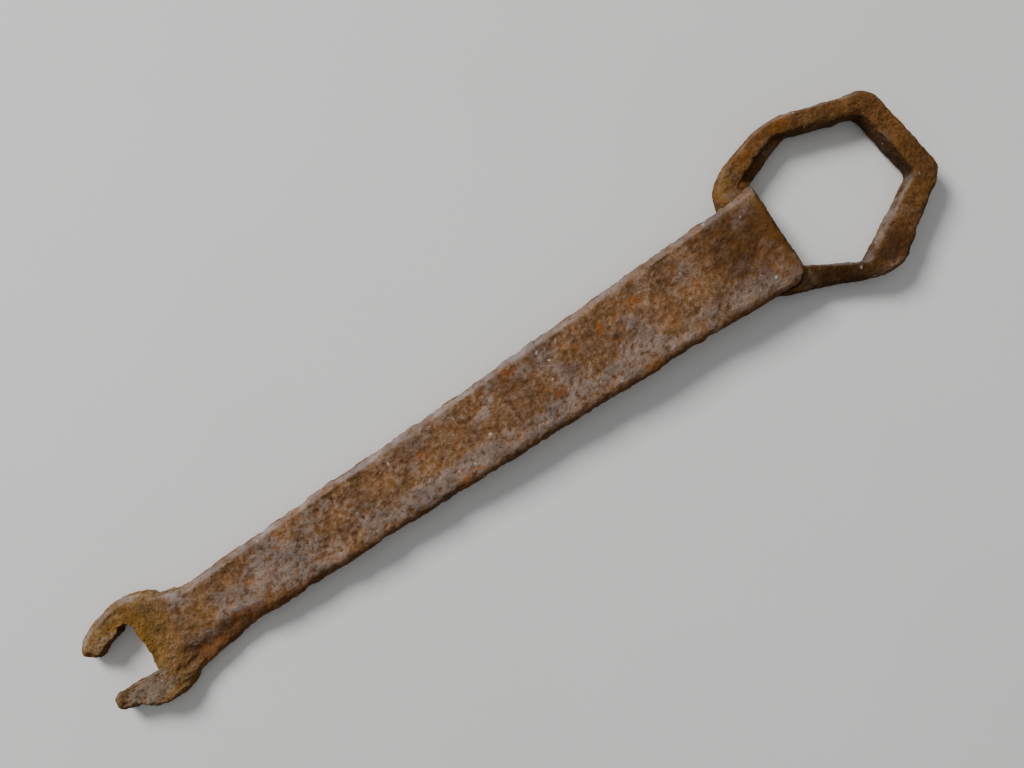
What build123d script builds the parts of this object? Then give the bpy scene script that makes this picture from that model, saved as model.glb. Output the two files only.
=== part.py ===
"""Hand-forged combination wrench: a hexagon ring at one end and an open jaw at the other.

Lengths are in millimetres. The origin is the centre of the hexagon opening, on the plane that the
wrench lies on. +X runs from the jaw towards the ring's far side, and +Z points up.
"""

from build123d import *
import math
import os

# Ring strap
across_flats = 50.0
near_flat_inset = 2.0
strap_wall = 9.8
ring_depth = 12.0
hole_corner_radius = 3.0
ring_edge_break = 1.6

# Lap where the strap's tail steps down inside the ring
lap_width = 4.0
lap_step = 4.5

# Shank
shank_length = 241.0
shank_end_width = 39.5
shank_end_thickness = 8.5
shank_axis_y = -3.4
shank_corner_radius = 5.0
edge_hollow = 0.5
seat_height = 8.0
neck_width = 26.6
neck_thickness = 12.0

# Jaw head
jaw_gap = 14.5
jaw_depth = 18.4
jaw_axis_y = -4.95
neck_to_throat = 41.0
upper_horn_width = 9.3
upper_tip_height = 4.3
upper_tip_reach = 4.2
lower_horn_width = 13.0
lower_tip_height = 5.5
throat_undercut = 5.4
heel_undercut = 1.4
head_thickness = 10.5

# Worked edges along the top of the shank and the head
upper_bevel = 2.6
lower_round = 3.0

# Scarf weld between the shank's neck and the head
scarf_length = 36.0
toe_thickness = 1.5
toe_setback = 13.0

# Worked out from the sizes above
hex_corner = across_flats / math.sqrt(3)
near_flat = across_flats / 2 - near_flat_inset
neck_x = -near_flat - shank_length
throat_x = neck_x - neck_to_throat
tip_x = throat_x - jaw_depth - upper_tip_reach
toe_x = throat_x + toe_setback
root_x = toe_x + scarf_length
shank_top = seat_height + shank_end_thickness
over = 10.0


def polar(bearing, reach):
    """A point at a bearing in degrees from +X and a distance from the ring's centre."""
    turn = math.radians(bearing)
    return (reach * math.cos(turn), reach * math.sin(turn))


def near_corner(bearing):
    """The corner where the near flat meets a line from the ring's centre at this bearing."""
    return (-near_flat, -near_flat * math.tan(math.radians(bearing)))


def jaw(u, v):
    """A point u towards the ring from the throat's floor and v above the jaw's own axis."""
    return (throat_x + u, jaw_axis_y + v)


def hole_corners():
    """The hexagon opening's corners, bent by hand, so that no two are quite alike."""
    return (
        near_corner(144.2),
        polar(91.0, 0.87 * hex_corner),
        polar(32.0, 1.07 * hex_corner),
        polar(-21.7, 1.14 * hex_corner),
        polar(-92.9, 1.04 * hex_corner),
        near_corner(218.2),
    )


def rim_bends():
    """The strap's outer bends: bearing, walls beyond a true hexagon's corner, radius in walls."""
    return (
        (145.4, 1.58, 1.6),
        (97.4, 0.62, 3.1),
        (34.3, 1.33, 0.9),
        (-20.5, 1.60, 0.85),
        (-78.9, 1.30, 1.5),
        (-149.8, 1.58, 0.85),
    )


def strap_outline():
    """The ring seen from above: six flats outside, and the hexagon opening inside."""
    corners = [polar(bearing, hex_corner + walls * strap_wall) for bearing, walls, _ in rim_bends()]
    radii = [walls * strap_wall for _, _, walls in rim_bends()]
    rim = make_face(FilletPolyline(*corners, radius=radii, close=True))
    hole = make_face(FilletPolyline(*hole_corners(), radius=hole_corner_radius, close=True))
    return rim - hole


def lap_recess():
    """The step down along the near upper flat, where the strap's tail lies below its top."""
    near_top, crown = [Vector(*corner) for corner in hole_corners()[:2]]
    along = (crown - near_top).normalized() * lap_width
    out = Vector(-along.Y, along.X)
    corners = (
        near_top - along - out,
        crown - out,
        crown,
        crown - along + out,
        near_top - along + out,
    )
    recess = make_face(Polyline(*corners, close=True))
    return Pos(0, 0, ring_depth - lap_step) * extrude(recess, lap_step + over)


def make_ring(shank):
    """The strap bent to a hexagon, its near side forged down to seat the shank's end."""
    strap = extrude(strap_outline(), ring_depth)
    levels = strap.edges().group_by(Axis.Z)
    strap = chamfer(levels[0] + levels[-1], ring_edge_break)
    return strap - lap_recess() - shank


def shank_edges():
    """The shank's two long edges, from its square end to the neck, and that end."""
    half = shank_end_width / 2
    end_top = (-near_flat, shank_axis_y + half)
    end_bottom = (-near_flat, shank_axis_y - half)
    middle_x = (neck_x - near_flat) / 2
    middle_y = (shank_axis_y + jaw_axis_y) / 2
    middle_half = (shank_end_width + neck_width) / 4 - edge_hollow
    neck_top = jaw(neck_to_throat, neck_width / 2)
    neck_bottom = jaw(neck_to_throat, -neck_width / 2)
    upper = ThreePointArc(end_top, (middle_x, middle_y + middle_half), neck_top)
    lower = ThreePointArc(neck_bottom, (middle_x, middle_y - middle_half), end_bottom)
    return upper, lower, Line(end_bottom, end_top)


def upper_horn(neck):
    """The hooked horn's back, from the neck over its crown to its blunt tip."""
    top = jaw_gap / 2 + throat_undercut + upper_horn_width
    rise = top - neck_width / 2
    back = Spline(
        neck @ 1,
        jaw(0.5 * neck_to_throat, top - 0.97 * rise),
        jaw(0.27 * neck_to_throat, top - 0.45 * rise),
        jaw(0, top),
        jaw(-0.64 * jaw_depth, top - 0.27 * upper_horn_width),
        (tip_x, jaw_axis_y + jaw_gap / 2 + upper_tip_height),
        tangents=[neck % 1, (-0.55, -0.83)],
    )
    return back, Line(back @ 1, jaw(-jaw_depth, jaw_gap / 2))


def mouth():
    """The jaw's inner side: the roof, the pocket behind the hook, the floor and the lower flat."""
    half_gap = jaw_gap / 2
    roof_end = jaw(-0.34 * jaw_depth, half_gap + 0.66 * throat_undercut)
    pocket_top = jaw(-0.17 * jaw_depth, half_gap + throat_undercut)
    pocket_end = jaw(-0.05 * jaw_depth, half_gap + 0.2 * throat_undercut)
    heel = jaw(-0.04 * jaw_depth, -half_gap - heel_undercut)
    return (
        Line(jaw(-jaw_depth, half_gap), roof_end),
        ThreePointArc(roof_end, pocket_top, pocket_end),
        ThreePointArc(pocket_end, jaw(0, 0), heel),
        Line(heel, jaw(-jaw_depth, -half_gap)),
    )


def lower_horn(neck):
    """The short lower horn, from its rounded nose back to the neck."""
    half_gap = jaw_gap / 2
    bottom = half_gap + heel_undercut + lower_horn_width
    fall = bottom - neck_width / 2
    lip = jaw(-jaw_depth, -half_gap)
    tip = jaw(-1.15 * jaw_depth, -half_gap - lower_tip_height)
    nose = ThreePointArc(lip, jaw(-1.16 * jaw_depth, -half_gap - 0.35 * lower_tip_height), tip)
    belly = Spline(
        tip,
        jaw(-0.9 * jaw_depth, -half_gap - 0.64 * lower_horn_width),
        jaw(-0.17 * jaw_depth, -bottom),
        jaw(0.35 * neck_to_throat, 0.5 * fall - bottom),
        jaw(0.66 * neck_to_throat, 0.76 * fall - bottom),
        neck @ 0,
        tangents=[(0.4, -0.92), neck % 0],
    )
    return nose, belly


def bar_outline():
    """The outline that the shank and the head share, seen from above."""
    upper, lower, end = shank_edges()
    outline = make_face([upper, *upper_horn(upper), *mouth(), *lower_horn(lower), lower, end])
    corner = outline.vertices().sort_by_distance(lower @ 1)[0]
    return fillet(corner, shank_corner_radius)


def side_block(corners):
    """A block wider than the wrench, from the corners of its side view in X and Z."""
    side = make_face(Polyline(*[(x, 0, z) for x, z in corners], close=True))
    return extrude(side, across_flats + shank_end_width, both=True)


def in_mouth(point):
    """Whether a point is on the jaw's inner side."""
    reach = jaw_gap / 2 + throat_undercut + 0.5
    return -jaw_depth < point.X - throat_x < 1 and abs(point.Y - jaw_axis_y) < reach


def top_edges(bar):
    """The edges round the bar's top that face outwards, without its square end and its folds."""
    tops = [face for face in bar.faces() if face.normal_at(face.center()).Z > 0.9]
    outer = []
    for edge in [edge for face in tops for edge in face.edges()]:
        across = edge.geom_type == GeomType.LINE and abs((edge % 0.5).Y) > 0.99
        if not across and not in_mouth(edge @ 0.5):
            outer.append(edge)
    return outer


def forged_bar():
    """The shank and the head as one bar, bevelled above and rounded below along its top."""
    side = (
        (tip_x - over, 0),
        (root_x, 0),
        (-near_flat, seat_height),
        (-near_flat, shank_top),
        (neck_x, neck_thickness),
        (toe_x, head_thickness),
        (tip_x - over, head_thickness),
    )
    bar = extrude(bar_outline(), shank_top + over) & side_block(side)
    above = [edge for edge in top_edges(bar) if (edge @ 0.5).Y > jaw_axis_y]
    bar = chamfer(above, upper_bevel)
    below = [edge for edge in top_edges(bar) if (edge @ 0.5).Y < jaw_axis_y - jaw_gap / 2]
    return fillet(below, lower_round)


def head_region():
    """All that lies under the scarf and beyond its toe: the head's share of the bar."""
    slope = scarf_length / (head_thickness - toe_thickness)
    return side_block(
        (
            (tip_x - over, -over),
            (root_x + over * slope, -over),
            (toe_x, head_thickness - toe_thickness),
            (toe_x, shank_top),
            (tip_x - over, shank_top),
        )
    )


if __name__ == "__main__":
    os.makedirs("parts", exist_ok=True)
    bar = forged_bar()
    shank = bar - head_region()
    export_step(shank, "parts/shank.step")
    export_step(bar & head_region(), "parts/open_jaw_head.step")
    export_step(make_ring(shank), "parts/hex_ring.step")
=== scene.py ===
"""The looks of a hand-forged combination wrench, sculpted and rusted round its CAD frame.

Every length is in metres. The origin is the centre of the hexagon opening, on the floor. +X runs
from the jaw to the ring's far side and +Z points up.
"""

import logging
import math
from dataclasses import dataclass, field
from enum import Enum

import bmesh
import bpy
from mathutils import Euler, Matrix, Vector, noise


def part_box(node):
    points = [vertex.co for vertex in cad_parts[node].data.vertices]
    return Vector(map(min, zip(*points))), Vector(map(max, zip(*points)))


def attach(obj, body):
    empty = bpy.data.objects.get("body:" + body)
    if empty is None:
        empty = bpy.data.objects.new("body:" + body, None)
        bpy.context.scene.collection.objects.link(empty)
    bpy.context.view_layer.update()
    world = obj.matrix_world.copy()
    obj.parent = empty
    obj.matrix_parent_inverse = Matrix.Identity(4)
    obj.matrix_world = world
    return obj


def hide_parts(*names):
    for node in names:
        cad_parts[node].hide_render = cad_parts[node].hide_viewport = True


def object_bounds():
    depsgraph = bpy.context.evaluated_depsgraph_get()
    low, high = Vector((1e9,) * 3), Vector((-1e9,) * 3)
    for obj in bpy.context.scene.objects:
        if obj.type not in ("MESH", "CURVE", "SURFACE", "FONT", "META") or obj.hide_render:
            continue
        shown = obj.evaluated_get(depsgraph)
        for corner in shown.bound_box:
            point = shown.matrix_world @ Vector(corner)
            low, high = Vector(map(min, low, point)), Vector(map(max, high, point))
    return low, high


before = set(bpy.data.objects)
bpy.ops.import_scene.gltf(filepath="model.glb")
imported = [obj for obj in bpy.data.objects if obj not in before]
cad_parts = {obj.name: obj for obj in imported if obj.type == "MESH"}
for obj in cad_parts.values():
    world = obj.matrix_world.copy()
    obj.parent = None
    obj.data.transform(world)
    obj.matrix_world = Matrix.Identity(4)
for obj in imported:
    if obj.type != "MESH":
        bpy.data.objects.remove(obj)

CAD_LOW, CAD_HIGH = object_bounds()
MM = 0.001
BODY = "root"

# Blender's noise vectors change from run to run until their seed is set to something but 0.
NOISE_SEED = 7

# Corners of the CAD mesh that lie nearer than this are one corner.
MERGE_DISTANCE = 0.002 * MM
# Nearer a contact than this, a vertex isn't rubbed down.
SHARP_REACH = 0.9 * MM
# Nearer than this, a vertex is on the contact, and is pressed into the other piece.
CONTACT_REACH = 0.35 * MM
PRESS = 0.25
# Nearer than this, the relief moves a vertex along the contact only.
FLUSH_REACH = 1.5 * MM
# How many times a copy is rubbed down to find the ridges and hollows.
MARK_ROUNDS = 9

FINE_GRAIN = 1300.0
PIT_CELLS = 640.0
CLOUD_SCALE = 95.0
WANDER_SCALE = 210.0
WANDER = 0.005
COOL_TINT = (0.66, 0.68, 0.74, 1.0)
WARM_TINT = (1.30, 1.28, 1.22, 1.0)

log = logging.getLogger("wrench")


class Detail(Enum):
    """How finely the forged surfaces are cut, as a factor on each piece's voxel."""

    DRAFT = 2.0
    FULL = 1.0


class Band(Enum):
    """Named zones that a piece paints on its surface, one attribute each: rust, relief, painted shade and
    painted highlight.
    """

    RISE = "rise"
    RIDGE = "ridge"
    HOLLOW = "hollow"
    OCHRE = "ochre"
    FRESH = "fresh"
    STONE = "stone"
    # Painted shade on the sides turned from the light, and painted highlight on the bevels and inner wall
    # that face it.
    SHADE = "shade"
    BEVEL = "bevel"


DETAIL = Detail.FULL


def smooth(value: float, low: float, high: float) -> float:
    """Ease a value from 0 at one limit to 1 at the other.

    Args:
        value: The value to ease.
        low: Where the result is 0.
        high: Where the result is 1.

    Returns:
        A number from 0 to 1 with no kink at either limit.
    """
    t = min(1.0, max(0.0, (value - low) / (high - low)))
    return t * t * (3.0 - 2.0 * t)


def along(x: float, stations: tuple[tuple[float, float], ...]) -> float:
    """Read a value that changes along the wrench.

    Args:
        x: The place along X, in millimetres.
        stations: Pairs of place and value, from low X to high X.

    Returns:
        The value at x, eased from one station to the next.
    """
    if x <= stations[0][0]:
        return stations[0][1]
    for (x0, v0), (x1, v1) in zip(stations, stations[1:]):
        if x <= x1:
            return v0 + (v1 - v0) * smooth(x, x0, x1)
    return stations[-1][1]


@dataclass(frozen=True)
class Seam:
    """A flat contact between two forged pieces.

    Args:
        point: A point on the contact, in metres.
        normal: The contact's normal, out of the piece that holds this seam.
        low: The lowest corner of the box in which the contact lies.
        high: The box's highest corner.
    """

    point: Vector
    normal: Vector
    low: Vector
    high: Vector

    def depth(self, place: Vector) -> float | None:
        """Measure how deep a place lies behind the contact.

        Args:
            place: A point on the piece, in metres.

        Returns:
            The distance behind the contact's plane, or None outside its box.
        """
        if any(place[i] < self.low[i] or place[i] > self.high[i] for i in range(3)):
            return None
        return (self.point - place).dot(self.normal)


@dataclass(frozen=True)
class Skin:
    """The relief of a hammered, rusted surface, in millimetres.

    Args:
        dish: Depth of the hammer's dishes.
        dish_size: Their width.
        crust: Height of the rust's crust.
        crust_size: Width of its lumps.
        pit: Depth of the small pits.
        pit_size: Their spacing.
        crater: Depth of the few large pits.
        crater_size: Their spacing.
        proud: The most that the relief stands out.
        eaten_size: Width of the zones where the rust has eaten deeper.
        warp: How far the pits stray from even spacing.
        warp_size: Width of that straying.
    """

    dish: float = 1.15
    dish_size: float = 14.0
    crust: float = 0.70
    crust_size: float = 4.6
    pit: float = 0.26
    pit_size: float = 4.2
    crater: float = 0.62
    crater_size: float = 9.5
    proud: float = 0.30
    eaten_size: float = 17.0
    warp: float = 1.6
    warp_size: float = 3.0

    def height(self, place: Vector) -> float:
        """Work out the relief at a place.

        Args:
            place: The place in millimetres.

        Returns:
            How far the surface stands out, in millimetres, mostly below zero.
        """
        dish = min(noise.voronoi(place / self.dish_size)[0][0], 0.9)
        relief = self.dish * (dish * dish - 0.45)
        relief += self.crust * noise.fractal(place / self.crust_size, 0.70, 2.2, 4)
        zone = place / self.eaten_size + Vector((5.0, 1.0, 3.0))
        eaten = smooth(noise.noise(zone), -0.35, 0.30)
        warped = place + noise.noise_vector(place / self.warp_size) * self.warp
        pit = 1.0 - noise.voronoi(warped / self.pit_size)[0][0] / 0.70
        if pit > 0.0:
            relief -= self.pit * eaten * smooth(pit, 0.0, 1.0)
        centre = warped / self.crater_size + Vector((7.0, 7.0, 7.0))
        crater = 1.0 - noise.voronoi(centre)[0][0] / 0.36
        if crater > 0.0:
            relief -= self.crater * (0.30 + 0.70 * eaten) * smooth(crater, 0.0, 1.0)
        return min(relief, self.proud)


@dataclass(frozen=True)
class Profile:
    """The handle's outline and the lines that run along its top, in millimetres.

    Args:
        end: The handle's square end along X.
        neck: Its narrowest place along X.
        upper: Y of its upper side at the end and at the neck.
        lower: Y of its lower side at the end and at the neck.
        bevel: Width of the bevel along its upper side.
        dished: Depth of the hollow between bevel and ridge.
        crest: Stations along X, each with the ridge's distance from the lower side.
        slope: Stations along X, each with the share of its height that the lower side loses.
    """

    end: float = -23.0
    neck: float = -264.0
    upper: tuple[float, float] = (16.35, 8.35)
    lower: tuple[float, float] = (-23.15, -18.25)
    bevel: float = 2.8
    dished: float = 1.0
    crest: tuple[tuple[float, float], ...] = (
        (-300.0, 6.0),
        (-284.0, 8.0),
        (-274.0, 8.4),
        (-250.0, 4.6),
        (-130.0, 3.2),
        (-45.0, 2.4),
    )
    slope: tuple[tuple[float, float], ...] = (
        (-308.0, 0.0),
        (-288.0, 0.26),
        (-268.0, 0.30),
        (-246.0, 0.13),
        (-205.0, 0.0),
    )

    def side(self, x: float, ends: tuple[float, float]) -> float:
        """Find a straight side's Y at a place along X."""
        share = (self.end - x) / (self.end - self.neck)
        return ends[0] + (ends[1] - ends[0]) * share

    def ridge(self, x: float) -> float:
        """Find Y of the ridge above the rounded lower side."""
        return self.side(x, self.lower) + along(x, self.crest)

    def hollow(self, place: Vector) -> float:
        """Hollow the top between the bevel and the ridge.

        Args:
            place: A place on the top.

        Returns:
            The hollow's depth there.
        """
        low = self.ridge(place.x)
        high = self.side(place.x, self.upper) - self.bevel
        share = (place.y - low) / (high - low)
        if not 0.0 < share < 1.0:
            return 0.0
        reach = smooth(place.x, -292.0, -262.0) * (1.0 - smooth(place.x, -52.0, -28.0))
        wander = 0.75 + 0.5 * noise.noise(Vector((place.x / 21.0, 4.0, 2.0)))
        return self.dished * reach * wander * 6.75 * share * share * (1.0 - share)

    def flank(self, place: Vector) -> float:
        """Slope the neck's lower side away from the ridge that runs down to the head.

        Args:
            place: The place in millimetres.

        Returns:
            The share of the height to take off there.
        """
        drop = along(place.x, self.slope)
        return drop * smooth(self.ridge(place.x) - place.y, -0.8, 8.0)


HANDLE = Profile()


@dataclass(frozen=True)
class Forging:
    """How hand forging bends the wrench, in millimetres.

    Args:
        slow: How far it bends over long stretches.
        slow_size: Their length.
        quick: How far it bends over short stretches.
        quick_size: Their length.
        upright: The share of the bend that is kept along Z.
        toe: Where the scarf's toe lies along X.
        toe_wander: How far the toe strays along X.
        toe_size: Length of that straying.
    """

    slow: float = 0.55
    slow_size: float = 38.0
    quick: float = 0.25
    quick_size: float = 11.0
    upright: float = 0.45
    toe: float = -291.0
    toe_wander: float = 3.2
    toe_size: float = 7.0


FORGING = Forging()


def bend(place: Vector) -> Vector:
    """Shift a place as hand forging does, alike for every piece so that their contacts stay shut.

    Args:
        place: The place in millimetres.

    Returns:
        The shift in millimetres.
    """
    slow = noise.noise_vector(place / FORGING.slow_size) * FORGING.slow
    stretch = place / FORGING.quick_size + Vector((3.0, 9.0, 1.0))
    shift = slow + noise.noise_vector(stretch) * FORGING.quick
    shift.z *= FORGING.upright
    toe = 1.0 - smooth(abs(place.x - FORGING.toe), 2.0, 9.0)
    wander = noise.fractal(Vector((place.y / FORGING.toe_size, 3.0, 6.0)), 0.8, 2.0, 3)
    shift.x += FORGING.toe_wander * toe * wander
    return shift


@dataclass(frozen=True)
class Patch:
    """A soft patch of colour on the wrench, in millimetres.

    Args:
        band: The band that it adds to.
        x: Its centre along X.
        y: Its centre along Y.
        length: Half its length.
        width: Half its width.
        turn: The turn of its length from X, in degrees.
        strength: Its value at the centre.
    """

    band: Band
    x: float
    y: float
    length: float
    width: float
    turn: float = 0.0
    strength: float = 1.0

    def cover(self, place: Vector) -> float:
        """Measure the patch's value at a place.

        Args:
            place: The place in millimetres.

        Returns:
            Its strength at the centre, fading to 0 a little past its rim.
        """
        angle = math.radians(self.turn)
        dx = place.x - self.x
        dy = place.y - self.y
        u = (dx * math.cos(angle) + dy * math.sin(angle)) / self.length
        v = (dy * math.cos(angle) - dx * math.sin(angle)) / self.width
        return self.strength * (1.0 - smooth(math.hypot(u, v), 0.35, 1.15))


PATCHES = (
    Patch(Band.OCHRE, -25.5, -7.5, 10.0, 3.4, 90.0, 1.0),
    Patch(Band.OCHRE, -26.0, 6.0, 11.0, 3.4, 88.0, 0.85),
    Patch(Band.OCHRE, -41.0, -1.0, 6.0, 3.0, 25.0, 0.6),
    Patch(Band.OCHRE, -76.0, -12.0, 6.5, 3.0, -15.0, 0.6),
    Patch(Band.OCHRE, -116.0, 2.0, 7.0, 4.0, 0.0, 0.7),
    Patch(Band.OCHRE, -231.0, -1.0, 12.0, 4.0, -12.0, 0.5),
    Patch(Band.OCHRE, -303.0, 0.0, 8.0, 13.0, 0.0, 0.9),
    Patch(Band.OCHRE, -306.0, 12.0, 12.0, 4.5, 12.0, 0.8),
    Patch(Band.OCHRE, -285.0, -5.0, 12.0, 7.0, 0.0, 0.5),
    Patch(Band.OCHRE, -31.0, 24.0, 10.0, 5.0, 50.0, 0.8),
    Patch(Band.FRESH, -48.4, -9.6, 3.4, 1.5, -28.0, 1.0),
    Patch(Band.FRESH, -84.0, 6.5, 4.0, 2.4, -20.0, 0.8),
    Patch(Band.FRESH, -98.8, 4.4, 3.2, 2.2, 70.0, 0.9),
    Patch(Band.FRESH, -71.0, -2.5, 5.0, 1.8, -45.0, 0.6),
    Patch(Band.FRESH, -124.0, -9.0, 3.2, 2.2, 0.0, 0.7),
    Patch(Band.FRESH, -136.0, 7.0, 5.0, 2.4, 0.0, 0.6),
    Patch(Band.FRESH, -169.0, -16.5, 7.0, 1.5, -3.0, 1.0),
    Patch(Band.FRESH, -180.5, -1.0, 3.6, 2.2, -20.0, 0.8),
    Patch(Band.FRESH, -207.0, -8.0, 3.4, 2.2, -60.0, 0.7),
    Patch(Band.FRESH, -211.5, -3.0, 3.0, 2.6, 0.0, 0.6),
    Patch(Band.FRESH, -236.0, 1.0, 9.0, 2.6, -8.0, 0.6),
    Patch(Band.FRESH, -268.0, -13.5, 14.0, 2.2, 6.0, 0.8),
    Patch(Band.FRESH, -262.0, -4.4, 9.0, 1.5, 10.0, 0.6),
    Patch(Band.FRESH, -8.0, 30.0, 16.0, 4.5, 14.0, 0.7),
    Patch(Band.FRESH, 33.0, 8.0, 14.0, 4.0, 78.0, 0.45),
    Patch(Band.FRESH, -12.0, -27.0, 20.0, 5.0, -26.0, 0.5),
    Patch(Band.STONE, -152.0, 0.5, 7.0, 3.6, 20.0, 0.7),
    Patch(Band.STONE, -242.0, -8.0, 8.0, 2.6, 0.0, 0.8),
    Patch(Band.STONE, -189.0, -12.0, 12.0, 3.0, 0.0, 0.7),
    Patch(Band.STONE, -129.0, -15.0, 9.0, 3.0, 0.0, 0.7),
    Patch(Band.STONE, -271.5, -1.6, 5.5, 2.0, -14.0, 1.0),
    Patch(Band.STONE, -43.0, -6.0, 5.0, 2.4, 20.0, 0.8),
    Patch(Band.STONE, -60.0, -14.0, 26.0, 5.0, -1.0, 0.55),
    Patch(Band.STONE, 16.0, -18.0, 15.0, 3.6, 34.0, 0.8),
    Patch(Band.STONE, -248.0, -4.5, 26.0, 10.0, 0.0, 0.80),
    Patch(Band.STONE, -313.0, -19.0, 13.0, 5.5, 12.0, 0.85),
    Patch(Band.STONE, -29.0, 22.0, 8.0, 5.0, 50.0, 0.55),
    # Painted shade: darker by the shank's end near the ring, along its rounded end, and the handle's
    # painted shadow over the ring's near lower flat.
    Patch(Band.SHADE, -38.0, 1.0, 22.0, 18.0, 0.0, 0.85),
    Patch(Band.SHADE, -23.5, -3.4, 4.4, 24.0, 0.0, 0.95),
    Patch(Band.SHADE, -4.0, -31.0, 26.0, 7.0, 0.0, 0.80),
)


def bevelled(normal: Vector) -> float:
    """Tell how squarely a surface faces the light over the upper side, as the bevels do."""
    return smooth(normal.y, 0.18, 0.68) * smooth(normal.z, 0.22, 0.5)


def weathering(place: Vector, normal: Vector) -> dict[Band, float]:
    """Paint the wrench's zones at a place, alike for every piece so that no joint shows a break: rust,
    painted shade on the sides turned from the light and painted highlight on those that face it.

    Args:
        place: The place in millimetres.
        normal: The surface's normal there.

    Returns:
        A value from 0 to 1 for each painted band.
    """
    warp = noise.noise_vector(place / 6.0) * 2.4 + noise.noise_vector(place / 2.2) * 0.9
    stray = place + warp
    found = {band: 0.0 for band in (Band.OCHRE, Band.FRESH, Band.STONE, Band.SHADE, Band.BEVEL)}
    if normal.z > -0.2:
        for patch in PATCHES:
            found[patch.band] = max(found[patch.band], patch.cover(stray))
    turn = math.degrees(math.atan2(place.y, place.x))
    round_ring = smooth(place.x, -23.5, -19.0)
    # Painted shadow of the handle's end over the ring's near lower flat.
    near = smooth(turn, -168.0, -150.0) * (1.0 - smooth(turn, -104.0, -84.0)) * round_ring
    # Painted shade: darker brown along the handle's lower edge and on every side that faces away from the
    # light.
    drop = place.y - HANDLE.side(place.x, HANDLE.lower)
    on_handle = smooth(place.x, -300.0, -262.0) * (1.0 - smooth(place.x, -50.0, -24.0))
    lower_edge_shade = on_handle * (1.0 - smooth(drop + warp.z * 0.5, 1.0, 4.6))
    outside = max(smooth(-normal.y, 0.20, 0.75), lower_edge_shade)
    # Painted shade on the ring's far inner wall, which faces away from the light.
    far_wall_shade = 0.85 * smooth(-normal.x, 0.35, 0.75) * smooth(place.x, 16.0, 22.0)
    side_shade = outside * (1.0 - 0.4 * round_ring)
    found[Band.SHADE] = max(found[Band.SHADE], 0.95 * near, side_shade, far_wall_shade)
    # Painted highlight: the bevels and the ring's inner wall that face the light are painted light grey,
    # broken up by noise.
    rim = smooth(place.z, 5.0, 8.5) * (1.0 - 0.50 * smooth(place.x, -125.0, -60.0))
    lit_wall = 0.8 * smooth(normal.y, 0.35, 0.7) * smooth(place.z, 2.0, 8.0) * round_ring
    lit_wall *= 1.0 - smooth(math.hypot(place.x, place.y), 31.0, 35.0)
    broken = smooth(noise.noise(stray / 5.0), -0.85, 0.45)
    found[Band.BEVEL] = max(bevelled(normal) * rim, lit_wall) * broken
    worn = 1.0 - smooth(abs(place.y - HANDLE.ridge(place.x) - 3.0), 2.0, 7.0)
    found[Band.STONE] = max(found[Band.STONE], 0.50 * worn * on_handle)
    flank = smooth(HANDLE.ridge(place.x) - stray.y, -0.5, 3.0)
    flank *= smooth(place.x, -304.0, -290.0) * (1.0 - smooth(place.x, -250.0, -215.0))
    found[Band.FRESH] = max(found[Band.FRESH], 0.75 * flank)
    return found


class Graph:
    """A node tree with short calls that add and join its nodes."""

    def __init__(self, tree: bpy.types.NodeTree) -> None:
        """Take the tree to build in."""
        self.tree = tree

    def add(self, kind: str, inputs: dict | None = None, **settings: object) -> bpy.types.Node:
        """Add a node.

        Args:
            kind: The node's type, without the leading ShaderNode.
            inputs: Input names or numbers, each with a value or the socket that feeds it.
            settings: The node's own settings.

        Returns:
            The new node.
        """
        node = self.tree.nodes.new("ShaderNode" + kind)
        for name, value in settings.items():
            setattr(node, name, value)
        for name, value in (inputs or {}).items():
            self.feed(node.inputs[name], value)
        return node

    def feed(self, socket: bpy.types.NodeSocket, value: object) -> None:
        """Set a socket to a value, or link another socket to it."""
        if isinstance(value, bpy.types.NodeSocket):
            self.tree.links.new(value, socket)
        else:
            socket.default_value = value

    def mix(
        self, factor: object, first: object, second: object, blend: str = "MIX"
    ) -> bpy.types.NodeSocket:
        """Mix two colours.

        Args:
            factor: The share of the second colour.
            first: The colour at factor 0.
            second: The colour at factor 1.
            blend: The way they mix.

        Returns:
            The mixed colour's socket.
        """
        node = self.add("Mix", data_type="RGBA", blend_type=blend)
        self.feed(node.inputs[0], factor)
        self.feed(node.inputs[6], first)
        self.feed(node.inputs[7], second)
        return node.outputs[2]

    def mask(self, value: object, low: float, high: float) -> bpy.types.NodeSocket:
        """Ease a value into a mask from 0 at one limit to 1 at the other."""
        limits = {"Value": value, "From Min": low, "From Max": high}
        return self.add("MapRange", limits, interpolation_type="SMOOTHSTEP").outputs[0]

    def math(self, operation: str, first: object, second: object) -> bpy.types.NodeSocket:
        """Join two values by an operation, clamped to between 0 and 1."""
        node = self.add("Math", operation=operation, use_clamp=True)
        self.feed(node.inputs[0], first)
        self.feed(node.inputs[1], second)
        return node.outputs[0]

    def grain(
        self, scale: object, detail: float, place: object, rough: float = 0.6
    ) -> bpy.types.NodeSocket:
        """Add a noise texture and return its value."""
        inputs = {"Vector": place, "Scale": scale, "Detail": detail, "Roughness": rough}
        return self.add("TexNoise", inputs).outputs[0]

    def band(self, band: Band) -> bpy.types.NodeSocket:
        """Read one of the painted bands."""
        return self.add("Attribute", attribute_name=band.value).outputs["Fac"]

    def group(self, tree: bpy.types.NodeTree, values: dict[str, float]) -> bpy.types.Node:
        """Place a shared node group.

        Args:
            tree: The group.
            values: This material's own value for each of the group's inputs.

        Returns:
            The placed group.
        """
        node = self.tree.nodes.new("ShaderNodeGroup")
        node.node_tree = tree
        for name, value in values.items():
            node.inputs[name].default_value = value
        return node


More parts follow.
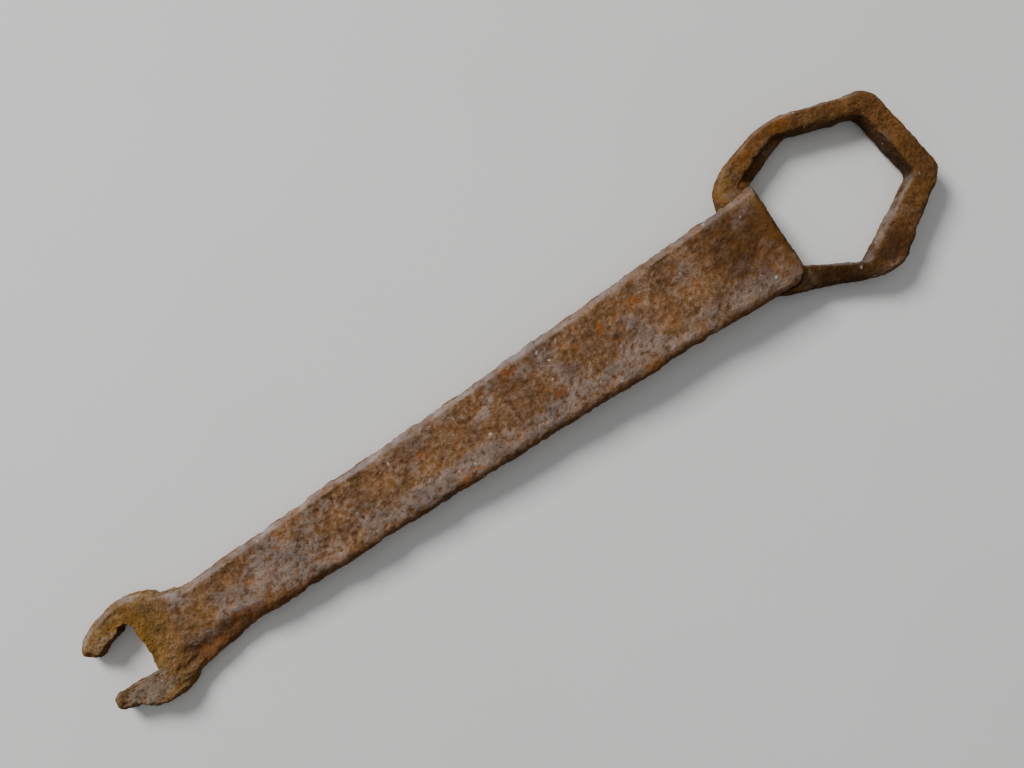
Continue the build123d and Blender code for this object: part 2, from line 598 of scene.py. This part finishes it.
class SharedEffects:
    """The node groups that every finish of this wrench uses, each built once."""

    def __init__(self) -> None:
        """Build the groups."""
        self.rust = self.rust_field()
        self.crust = self.crust_field()
        self.wear = self.edge_wear()

    @staticmethod
    def start(
        name: str, inputs: tuple[str, ...], outputs: tuple[str, ...]
    ) -> tuple[Graph, bpy.types.NodeOutputs, bpy.types.Node]:
        """Open a new group.

        Args:
            name: The group's name.
            inputs: The names of the values that each material gives it.
            outputs: The names of the values that it puts out.

        Returns:
            The group's graph, the sockets of its inputs and its output node.
        """
        tree = bpy.data.node_groups.new(name, "ShaderNodeTree")
        for socket in inputs:
            tree.interface.new_socket(socket, in_out="INPUT", socket_type="NodeSocketFloat")
        for socket in outputs:
            tree.interface.new_socket(socket, in_out="OUTPUT", socket_type="NodeSocketFloat")
        given = tree.nodes.new("NodeGroupInput").outputs
        return Graph(tree), given, tree.nodes.new("NodeGroupOutput")

    def rust_field(self) -> bpy.types.NodeTree:
        """Build the cloudy masks by which rust changes colour over the surface, and the specks where
        glints are painted.

        Returns:
            The group.
        """
        inputs = ("Patch Scale", "Bloom Scale", "Speck Scale")
        graph, given, out = self.start("rust_field", inputs, ("Patches", "Blooms", "Tint", "Specks"))
        place = graph.add("TexCoord").outputs["Object"]
        clouds = {"Vector": place, "Scale": WANDER_SCALE, "Detail": 3.0}
        wander = graph.add("TexNoise", clouds).outputs["Color"]
        terms = {0: wander, 1: (WANDER,) * 3, 2: place}
        shifted = graph.add("VectorMath", terms, operation="MULTIPLY_ADD").outputs[0]
        graph.feed(out.inputs["Patches"], graph.grain(given["Patch Scale"], 5.0, shifted, 0.62))
        graph.feed(out.inputs["Blooms"], graph.grain(given["Bloom Scale"], 5.0, shifted, 0.62))
        graph.feed(out.inputs["Tint"], graph.grain(CLOUD_SCALE, 4.0, place, 0.7))
        cells = graph.add("TexVoronoi", {"Vector": shifted, "Scale": given["Speck Scale"]})
        graph.feed(out.inputs["Specks"], graph.mask(cells.outputs["Distance"], 0.13, 0.05))
        return graph.tree

    def crust_field(self) -> bpy.types.NodeTree:
        """Build the fine crust of the rust: its height, and the pits between its grains.

        Returns:
            The group.
        """
        graph, given, out = self.start("crust_field", ("Grain Scale", "Pit Depth"), ("Height", "Pits"))
        place = graph.add("TexCoord").outputs["Object"]
        coarse = graph.grain(given["Grain Scale"], 5.0, place, 0.68)
        fine = graph.grain(FINE_GRAIN, 5.0, place, 0.72)
        spacing = {"Vector": place, "Scale": PIT_CELLS}
        cells = graph.add("TexVoronoi", spacing, feature="SMOOTH_F1")
        holes = graph.mask(cells.outputs["Distance"], 0.36, 0.12)
        body = graph.math("ADD", graph.math("MULTIPLY", coarse, 0.65), graph.math("MULTIPLY", fine, 0.35))
        sunk = graph.math("MULTIPLY", holes, given["Pit Depth"])
        graph.feed(out.inputs["Height"], graph.math("SUBTRACT", body, sunk))
        graph.feed(out.inputs["Pits"], holes)
        return graph.tree

    def edge_wear(self) -> bpy.types.NodeTree:
        """Build the masks of rubbed ridges and of grime in hollows, broken up by grain.

        Returns:
            The group.
        """
        inputs = ("Break Scale", "Wear Amount", "Grime Amount")
        graph, given, out = self.start("edge_wear", inputs, ("Wear", "Grime"))
        place = graph.add("TexCoord").outputs["Object"]
        ridge = graph.band(Band.RIDGE)
        hollow = graph.band(Band.HOLLOW)
        broken = graph.mask(graph.grain(given["Break Scale"], 6.0, place, 0.72), 0.36, 0.62)
        worn = graph.math("MULTIPLY", ridge, broken)
        dirty = graph.math("MULTIPLY", hollow, graph.mask(broken, -0.8, 1.0))
        graph.feed(out.inputs["Wear"], graph.math("MULTIPLY", worn, given["Wear Amount"]))
        graph.feed(out.inputs["Grime"], graph.math("MULTIPLY", dirty, given["Grime Amount"]))
        return graph.tree


Colour = tuple[float, float, float, float]


@dataclass(frozen=True)
class RustFinish:
    """Old rust on wrought iron.

    Args:
        name: The material's name.
        deep: The darkest brown, in pits and hollows.
        body: The main brown.
        pale: The dusty tan on the crust's tops: partly the rust's own colour, partly painted highlight on
            the grains.
        warm: The orange of fresh rust.
        ochre: The yellow of rust that dried wet.
        stone: The grey-tan of handled rust.
        rubbed: The cool grey of rubbed ridges, also used for the painted highlight on the bevels and the
            inner wall that face the light.
        scale: The whitish grey of the specks, which are painted glints.
        shade: The dark brown of the painted shade on the sides turned from the light and in the handle's
            painted shadow.
        patch_scale: How fine its large patches are. Pieces whose rust runs on share it.
        bloom_scale: How fine its blooms of orange are.
        speck_scale: How close together its specks of painted glint are.
        grain_scale: How fine its crust is.
        pit_depth: How deep the pits in its crust are, as a share of the crust's height.
        break_scale: How finely its rubbed ridges are broken up.
        wear: How strongly its ridges are rubbed.
        grime: How dark its hollows are.
    """

    name: str
    deep: Colour
    body: Colour
    pale: Colour
    warm: Colour
    ochre: Colour
    stone: Colour
    rubbed: Colour
    scale: Colour
    shade: Colour
    patch_scale: float = 64.0
    bloom_scale: float = 150.0
    speck_scale: float = 170.0
    grain_scale: float = 430.0
    pit_depth: float = 0.07
    break_scale: float = 420.0
    wear: float = 0.70
    grime: float = 0.35

    def colour(
        self, graph: Graph, effects: SharedEffects, crust: bpy.types.NodeOutputs
    ) -> tuple[bpy.types.NodeSocket, bpy.types.NodeSocket]:
        """Lay the colours over each other, from the iron's brown up to its rubbed ridges.

        Args:
            graph: The material's graph.
            effects: The shared groups.
            crust: The outputs of this material's crust.

        Returns:
            The base colour and the mask of polished metal, which also holds the painted highlight on the
            bevels.
        """
        scales = {
            "Patch Scale": self.patch_scale,
            "Bloom Scale": self.bloom_scale,
            "Speck Scale": self.speck_scale,
        }
        rust = graph.group(effects.rust, scales).outputs
        rubbing = {
            "Break Scale": self.break_scale,
            "Wear Amount": self.wear,
            "Grime Amount": self.grime,
        }
        wear = graph.group(effects.wear, rubbing).outputs
        # The crust's tops turn lighter and its lows darker: partly the rust's own colour, partly painted
        # light and shade on the grains.
        rise = graph.math("MULTIPLY", graph.band(Band.RISE), 0.35)
        height = graph.math("ADD", rise, graph.math("MULTIPLY", crust["Height"], 0.65))
        colour = graph.mix(graph.mask(height, 0.22, 0.46), self.deep, self.body)
        colour = graph.mix(graph.mask(height, 0.42, 0.70), colour, self.pale)
        handled = graph.math("ADD", rust["Patches"], graph.math("MULTIPLY", graph.band(Band.STONE), 0.30))
        stone = graph.math("MULTIPLY", graph.mask(handled, 0.50, 0.70), graph.mask(height, 0.34, 0.54))
        colour = graph.mix(graph.math("MULTIPLY", stone, 0.80), colour, self.stone)
        bloom = graph.math("ADD", rust["Blooms"], graph.math("MULTIPLY", graph.band(Band.FRESH), 0.22))
        colour = graph.mix(graph.math("MULTIPLY", graph.mask(bloom, 0.55, 0.74), 0.70), colour, self.warm)
        yellow = graph.math("MULTIPLY", graph.band(Band.OCHRE), graph.mask(rust["Blooms"], 0.28, 0.60))
        colour = graph.mix(graph.math("MULTIPLY", yellow, 0.80), colour, self.ochre)
        # Painted shade: the dark brown on the sides turned from the light, in the handle's shadow and on
        # the far inner wall.
        shade = graph.math("MULTIPLY", graph.band(Band.SHADE), graph.mask(rust["Blooms"], 0.15, 0.55))
        colour = graph.mix(graph.math("MULTIPLY", shade, 0.88), colour, self.shade)
        colour = graph.mix(graph.math("MULTIPLY", crust["Pits"], 0.14), colour, self.deep)
        colour = graph.mix(wear["Grime"], colour, self.deep)
        # The grey of rubbed metal: real wear on the ridges, and painted highlight on the bevels and the
        # inner wall that face the light.
        bevel = graph.math("MULTIPLY", graph.band(Band.BEVEL), graph.mask(height, 0.36, 0.52))
        rubbed = graph.math("MAXIMUM", graph.math("MULTIPLY", bevel, 0.80), wear["Wear"])
        colour = graph.mix(rubbed, colour, self.rubbed)
        # Painted glints: whitish specks of painted highlight on the crust.
        specks = graph.math("MULTIPLY", rust["Specks"], graph.mask(rust["Patches"], 0.44, 0.60))
        colour = graph.mix(graph.math("MULTIPLY", specks, 0.85), colour, self.scale)
        tint = graph.mix(graph.mask(rust["Tint"], 0.25, 0.75), COOL_TINT, WARM_TINT)
        return graph.mix(1.0, colour, tint, "MULTIPLY"), rubbed

    def build(self, effects: SharedEffects) -> bpy.types.Material:
        """Build the material.

        Args:
            effects: The shared groups.

        Returns:
            The finished material.
        """
        material = bpy.data.materials.new(self.name)
        material.use_nodes = True
        graph = Graph(material.node_tree)
        shader = material.node_tree.nodes["Principled BSDF"]
        grains = {"Grain Scale": self.grain_scale, "Pit Depth": self.pit_depth}
        crust = graph.group(effects.crust, grains).outputs
        colour, rubbed = self.colour(graph, effects, crust)
        graph.feed(shader.inputs["Base Color"], colour)
        dull = graph.math("SUBTRACT", 0.92, graph.math("MULTIPLY", rubbed, 0.42))
        graph.feed(shader.inputs["Roughness"], dull)
        graph.feed(shader.inputs["Metallic"], graph.math("MULTIPLY", rubbed, 0.30))
        shader.inputs["Specular IOR Level"].default_value = 0.16
        bump = graph.add("Bump", {"Height": crust["Height"], "Strength": 1.0, "Distance": 1.8 * MM})
        graph.feed(shader.inputs["Normal"], bump.outputs[0])
        return material


@dataclass
class ForgedPiece:
    """One forged piece, sculpted from a copy of its CAD node.

    Args:
        node: The CAD node that it stands for.
        slot: The record's material slot. It is not used.
        finish: Its rust.
        voxel: The size of its mesh's faces, in metres.
        seams: Its flat contacts with the other pieces.
        skin: The relief of its surface.
        rounds: How many times its edges are rubbed down.
    """

    node: str
    slot: str
    finish: RustFinish
    voxel: float
    seams: list[Seam] = field(default_factory=list)
    skin: Skin = Skin()
    rounds: int = 7

    def build(self, effects: SharedEffects) -> bpy.types.Object:
        """Sculpt the piece, dress it and put it in its CAD node's place.

        Args:
            effects: The shared node groups.

        Returns:
            The finished piece.
        """
        piece = self.recut()
        mesh = bmesh.new()
        mesh.from_mesh(piece.data)
        self.rub_down(mesh)
        self.forge(mesh)
        marks = self.marks(mesh)
        mesh.to_mesh(piece.data)
        mesh.free()
        for band, values in marks.items():
            piece.data.attributes.new(band.value, "FLOAT", "POINT").data.foreach_set("value", values)
        piece.data.shade_smooth()
        piece.data.materials.clear()
        piece.data.materials.append(self.finish.build(effects))
        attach(piece, BODY)
        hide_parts(self.node)
        log.info("%s: %d faces", piece.name, len(piece.data.polygons))
        return piece

    def recut(self) -> bpy.types.Object:
        """Copy the CAD node, merge the copy and cut it anew into small even faces.

        Returns:
            The new object, with no modifiers left on it.
        """
        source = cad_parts[self.node].data.copy()
        merged = bmesh.new()
        merged.from_mesh(source)
        bmesh.ops.remove_doubles(merged, verts=merged.verts, dist=MERGE_DISTANCE)
        merged.to_mesh(source)
        merged.free()
        piece = bpy.data.objects.new("forged_" + self.node, source)
        bpy.context.scene.collection.objects.link(piece)
        remesh = piece.modifiers.new("recut", "REMESH")
        remesh.mode = "VOXEL"
        remesh.voxel_size = self.voxel * DETAIL.value
        graph = bpy.context.evaluated_depsgraph_get()
        fresh = bpy.data.meshes.new_from_object(piece.evaluated_get(graph))
        fresh.name = piece.name
        piece.modifiers.clear()
        piece.data = fresh
        return piece

    def nearest_seam(self, place: Vector) -> tuple[Seam | None, float]:
        """Find the contact that a place is nearest to.

        Args:
            place: A place on the piece, in metres.

        Returns:
            The contact and the distance to it, or None and a metre where none is near.
        """
        best, depth = None, 1.0
        for seam in self.seams:
            found = seam.depth(place)
            if found is not None and abs(found) < depth:
                best, depth = seam, abs(found)
        return best, depth

    def rub_down(self, mesh: bmesh.types.BMesh) -> None:
        """Round the piece's edges, except where it meets another piece."""
        free = [vert for vert in mesh.verts if self.nearest_seam(vert.co)[1] > SHARP_REACH]
        for _ in range(self.rounds):
            soften(mesh, free)
        mesh.normal_update()

    def shape(self, place: Vector) -> Vector:
        """Give the shift, in millimetres, that this piece's own large features need at a place."""
        return Vector((0.0, 0.0, 0.0))

    def forge(self, mesh: bmesh.types.BMesh) -> None:
        """Move every vertex by the piece's features, the shared bend and the relief of its skin.

        Args:
            mesh: The mesh to move.
        """
        for vert in mesh.verts:
            place = vert.co / MM
            seam, depth = self.nearest_seam(vert.co)
            normal = vert.normal.copy()
            shift = self.shape(place) + bend(place)
            if seam is not None and depth < CONTACT_REACH:
                shift += seam.normal * PRESS
            if seam is not None and depth < FLUSH_REACH:
                normal -= seam.normal * normal.dot(seam.normal)
            calm = 1.0 - 0.65 * bevelled(normal)
            if normal.length > 0.3:
                shift += normal.normalized() * (self.skin.height(place) * calm)
            vert.co = keep_inside(vert.co + shift * MM)
        mesh.normal_update()

    def marks(self, mesh: bmesh.types.BMesh) -> dict[Band, list[float]]:
        """Measure ridges and hollows, and paint the wrench's zones.

        Args:
            mesh: The sculpted mesh.

        Returns:
            One value from 0 to 1 for each vertex and band.
        """
        soft = mesh.copy()
        for _ in range(MARK_ROUNDS):
            soften(soft, list(soft.verts))
        marks: dict[Band, list[float]] = {band: [] for band in Band}
        for vert, rubbed in zip(mesh.verts, soft.verts):
            stands = (vert.co - rubbed.co).dot(vert.normal) / MM
            open_air = smooth(self.nearest_seam(vert.co)[1] / MM, 0.8, 2.4)
            marks[Band.RISE].append(min(1.0, max(0.0, 0.5 + open_air * stands / 0.6)))
            marks[Band.RIDGE].append(open_air * smooth(stands, 0.14, 0.50))
            marks[Band.HOLLOW].append(open_air * smooth(-stands, 0.08, 0.36))
            for band, value in weathering(vert.co / MM, rubbed.normal).items():
                marks[band].append(value)
        soft.free()
        return marks


def soften(mesh: bmesh.types.BMesh, verts: list[bmesh.types.BMVert]) -> None:
    """Rub the given vertices down once."""
    axes = {"use_axis_x": True, "use_axis_y": True, "use_axis_z": True}
    bmesh.ops.smooth_vert(mesh, verts=verts, factor=0.5, **axes)
    mesh.normal_update()


def keep_inside(place: Vector, margin: float = 0.45 * MM) -> Vector:
    """Hold a place inside the CAD model's box, easing it off over a margin at the sides and the top.

    Args:
        place: The place in metres.
        margin: The depth inside the box over which it is eased.

    Returns:
        The place, moved inside.
    """
    held = place.copy()
    for axis in range(3):
        over = place[axis] - (CAD_HIGH[axis] - margin)
        if over > 0.0:
            held[axis] = CAD_HIGH[axis] - margin * math.exp(-over / margin)
        under = (CAD_LOW[axis] + margin) - place[axis]
        if under > 0.0 and axis < 2:
            held[axis] = CAD_LOW[axis] + margin * math.exp(-under / margin)
    held.z = max(held.z, CAD_LOW[2], 0.0)
    return held


class BarPiece(ForgedPiece):
    """A piece of the bar, whose slopes and hollows run on from the shank into the head."""

    def shape(self, place: Vector) -> Vector:
        """Slope the neck's lower side and hollow the top inside the bevel.

        Args:
            place: The place in millimetres.

        Returns:
            The shift in millimetres.
        """
        top = smooth(place.z, 4.0, 9.0)
        drop = HANDLE.flank(place) * place.z + HANDLE.hollow(place) * top
        return Vector((0.0, 0.0, -drop))


class Shank(BarPiece):
    """The tapered bar between the ring and the head."""


class JawHead(BarPiece):
    """The forged head with its hooked upper horn and short lower horn."""


class HexRing(ForgedPiece):
    """The strap bent to a hexagon, welded under the shank's end."""

    def shape(self, place: Vector) -> Vector:
        """Slope the near lower flat outwards, and raise a bead of weld along the shank's flank.

        Args:
            place: The place in millimetres.

        Returns:
            The shift in millimetres.
        """
        turn = math.degrees(math.atan2(place.y, place.x))
        near = smooth(turn, -168.0, -150.0) * (1.0 - smooth(turn, -112.0, -92.0))
        drop = 0.24 * near * smooth(math.hypot(place.x, place.y), 27.0, 38.0) * place.z
        gap = place.y - HANDLE.side(place.x, HANDLE.upper)
        along_flank = smooth(place.x, -46.0, -40.0) * (1.0 - smooth(place.x, -28.0, -20.0))
        bead = along_flank * (1.0 - smooth(gap, -0.4, 4.2)) * smooth(place.z, 8.0, 11.0)
        return Vector((0.0, -0.7 * bead, 1.9 * bead + self.lap_run_out(place) - drop))

    def lap_run_out(self, place: Vector) -> float:
        """Run the lap's low step out into the strap's shoulder, so that it doesn't end in a pocket.

        Args:
            place: The place in millimetres.

        Returns:
            How far to raise the step there, in millimetres.
        """
        corner, top, step = Vector((-23.0, 16.6)), Vector((-0.4, 25.1)), 12.0
        flat = (top - corner).normalized()
        reach = place.xy - corner
        out = reach.y * flat.x - reach.x * flat.y
        in_lap = smooth(out, -1.5, 0.5) * (1.0 - smooth(out, 5.0, 7.0)) * smooth(place.z, 5.6, 7.2)
        return max(0.0, step - place.z) * in_lap * (1.0 - smooth(reach.dot(flat), -2.5, 3.5))


RING_SKIN = Skin(dish=0.7, dish_size=11.0, crust=0.40, crust_size=4.0, pit=0.20, crater=0.40)


@dataclass
class Wrench:
    """The whole wrench: its three forged pieces and the welds between them.

    Args:
        toe_thickness: Height of the scarf's blunt toe.
        seat_height: Height of the ring's seat under the shank's end.
        shank_voxel: The shank's face size.
        ring_voxel: The ring's face size.
        head_voxel: The head's face size.
    """

    toe_thickness: float = 1.5 * MM
    seat_height: float = 8.0 * MM
    shank_voxel: float = 0.52 * MM
    ring_voxel: float = 0.34 * MM
    head_voxel: float = 0.30 * MM

    def scarf(self, above: bool) -> list[Seam]:
        """Give the scarf weld's slope and its toe.

        Args:
            above: Whether they are for the shank, which lies above the head there.

        Returns:
            The two contacts.
        """
        shank_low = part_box("shank")[0]
        head_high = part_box("open_jaw_head")[1]
        toe = Vector((shank_low.x, 0.0, head_high.z - self.toe_thickness))
        root = Vector((head_high.x, 0.0, 0.0))
        slope = (root - toe).normalized()
        down = Vector((slope.z, 0.0, -slope.x))
        side = 1.0 if above else -1.0
        low = Vector((toe.x - MM, -2.0, -MM))
        sloped = Seam(root, down * side, low, root + Vector((MM, 1.0, toe.z)))
        low = Vector((toe.x - 2 * MM, -1.0, toe.z - 0.2 * MM))
        blunt = Seam(toe, Vector((-side, 0.0, 0.0)), low, Vector((toe.x + 2 * MM, 1.0, 1.0)))
        return [sloped, blunt]

    def seat(self, above: bool) -> list[Seam]:
        """Give the seat between the ring and the shank's end, and the shank's flank beside it.

        Args:
            above: Whether they are for the shank, which lies above the ring there.

        Returns:
            The two contacts.
        """
        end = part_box("shank")[1]
        ring_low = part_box("hex_ring")[0]
        shank_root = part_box("open_jaw_head")[1]
        rise = Vector((end.x - shank_root.x, 0.0, self.seat_height)).normalized()
        down = Vector((rise.z, 0.0, -rise.x))
        side = 1.0 if above else -1.0
        low = Vector((ring_low.x, -0.0225, 0.0))
        high = Vector((end.x + MM, 0.016, end.z))
        seat = Seam(Vector((end.x, 0.0, self.seat_height)), down * side, low, high)
        corner = Vector((end.x, end.y, self.seat_height))
        across = Vector((0.0, side, 0.0))
        low = Vector((ring_low.x, end.y - 2.0 * MM, self.seat_height - 0.5 * MM))
        flank = Seam(corner, across, low, Vector((end.x, end.y + 2.0 * MM, self.seat_height + 4.3 * MM)))
        return [seat, flank]

    def build(self, effects: SharedEffects) -> list[bpy.types.Object]:
        """Build the three pieces.

        Args:
            effects: The shared node groups.

        Returns:
            The pieces, from the ring to the jaw.
        """
        ring = HexRing(
            node="hex_ring",
            slot="ring_iron",
            finish=RING_RUST,
            voxel=self.ring_voxel,
            seams=self.seat(above=False),
            skin=RING_SKIN,
            rounds=40,
        )
        shank = Shank(
            node="shank",
            slot="shank_iron",
            finish=SHANK_RUST,
            voxel=self.shank_voxel,
            seams=self.scarf(above=True) + self.seat(above=True),
            rounds=9,
        )
        head = JawHead(
            node="open_jaw_head",
            slot="head_iron",
            finish=HEAD_RUST,
            voxel=self.head_voxel,
            seams=self.scarf(above=False),
            rounds=30,
        )
        return [part.build(effects) for part in (ring, shank, head)]


SHANK_RUST = RustFinish(
    name="shank_rust",
    deep=(0.070, 0.024, 0.005, 1.0),
    body=(0.175, 0.080, 0.030, 1.0),
    pale=(0.300, 0.190, 0.115, 1.0),
    warm=(0.270, 0.088, 0.018, 1.0),
    ochre=(0.190, 0.086, 0.007, 1.0),
    stone=(0.265, 0.200, 0.165, 1.0),
    rubbed=(0.320, 0.276, 0.270, 1.0),
    scale=(0.520, 0.500, 0.480, 1.0),
    shade=(0.090, 0.032, 0.004, 1.0),
)
RING_RUST = RustFinish(
    name="ring_rust",
    deep=(0.045, 0.014, 0.002, 1.0),
    body=(0.112, 0.043, 0.008, 1.0),
    pale=(0.205, 0.108, 0.040, 1.0),
    warm=(0.200, 0.066, 0.007, 1.0),
    ochre=(0.230, 0.108, 0.013, 1.0),
    stone=(0.205, 0.145, 0.100, 1.0),
    rubbed=(0.290, 0.230, 0.185, 1.0),
    scale=(0.420, 0.390, 0.350, 1.0),
    shade=(0.027, 0.008, 0.001, 1.0),
    patch_scale=70.0,
    bloom_scale=140.0,
    grain_scale=400.0,
    pit_depth=0.10,
    wear=0.60,
)
HEAD_RUST = RustFinish(
    name="head_rust",
    deep=(0.070, 0.026, 0.004, 1.0),
    body=(0.175, 0.082, 0.022, 1.0),
    pale=(0.295, 0.188, 0.090, 1.0),
    warm=(0.270, 0.098, 0.014, 1.0),
    ochre=(0.255, 0.120, 0.012, 1.0),
    stone=(0.270, 0.204, 0.145, 1.0),
    rubbed=(0.300, 0.255, 0.220, 1.0),
    scale=(0.480, 0.450, 0.400, 1.0),
    shade=(0.095, 0.036, 0.005, 1.0),
    pit_depth=0.09,
    wear=0.75,
    grime=0.40,
)


@dataclass
class Studio:
    """The floor, the lights and the camera.

    Args:
        centre: The point on the floor under the camera.
        turn: The camera's turn about Z, in degrees.
        height: The camera's height.
        lens: Its focal length in millimetres.
        sensor: Its sensor's width in millimetres.
    """

    centre: tuple[float, float] = (-0.137, 0.0036)
    turn: float = -33.2
    height: float = 0.415
    lens: float = 38.25
    sensor: float = 36.0

    def floor(self) -> bpy.types.Object:
        """Lay a pale floor.

        Returns:
            The floor.
        """
        mesh = bmesh.new()
        bmesh.ops.create_grid(mesh, x_segments=8, y_segments=8, size=4.0)
        data = bpy.data.meshes.new("floor")
        mesh.to_mesh(data)
        mesh.free()
        floor = bpy.data.objects.new("floor", data)
        bpy.context.scene.collection.objects.link(floor)
        material = bpy.data.materials.new("pale_floor")
        material.use_nodes = True
        graph = Graph(material.node_tree)
        shader = material.node_tree.nodes["Principled BSDF"]
        place = graph.add("TexCoord").outputs["Object"]
        tone = graph.mask(graph.grain(3.0, 4.0, place), 0.2, 0.8)
        pale = graph.mix(tone, (0.70, 0.69, 0.67, 1.0), (0.74, 0.735, 0.72, 1.0))
        graph.feed(shader.inputs["Base Color"], pale)
        shader.inputs["Roughness"].default_value = 0.9
        data.materials.append(material)
        return floor

    def lamp(self, name: str, place: tuple[float, float, float], size: float, power: float) -> None:
        """Hang a soft square lamp that faces the middle of the wrench.

        Args:
            name: The lamp's name.
            place: Where it hangs.
            size: The length of its sides.
            power: Its power in watts.
        """
        data = bpy.data.lights.new(name, "AREA")
        data.size = size
        data.energy = power
        lamp = bpy.data.objects.new(name, data)
        lamp.location = place
        aim = Vector((self.centre[0], self.centre[1], 0.0)) - Vector(place)
        lamp.rotation_euler = aim.to_track_quat("-Z", "Y").to_euler()
        bpy.context.scene.collection.objects.link(lamp)

    def lights(self) -> None:
        """Light the wrench from its upper side, with a weak fill from all round."""
        x, y = self.centre
        self.lamp("window", (x - 0.50, y + 1.90, 1.60), 0.86, 74.0)
        self.lamp("sky", (x, y, 3.0), 3.6, 16.0)
        world = bpy.data.worlds.new("studio")
        world.use_nodes = True
        world.node_tree.nodes["Background"].inputs["Color"].default_value = (0.95, 0.97, 1.0, 1.0)
        world.node_tree.nodes["Background"].inputs["Strength"].default_value = 0.22
        bpy.context.scene.world = world

    def camera(self) -> None:
        """Hang the camera straight above, turned so that the ring is at the upper right."""
        data = bpy.data.cameras.new("camera")
        data.lens = self.lens
        data.sensor_width = self.sensor
        data.clip_start = 0.01
        camera = bpy.data.objects.new("camera", data)
        camera.location = (self.centre[0], self.centre[1], self.height)
        camera.rotation_euler = Euler((0.0, 0.0, math.radians(self.turn)))
        bpy.context.scene.collection.objects.link(camera)
        bpy.context.scene.camera = camera

    def build(self) -> None:
        """Set up the floor, the lights and the camera."""
        self.floor()
        self.lights()
        self.camera()


def main() -> None:
    """Build the wrench and its studio, and report each piece."""
    logging.basicConfig(level=logging.INFO, format="%(name)s %(message)s")
    noise.seed_set(NOISE_SEED)
    Studio().build()
    for piece in Wrench().build(SharedEffects()):
        log.info("built %s", piece.name)


if __name__ == "__main__":
    main()
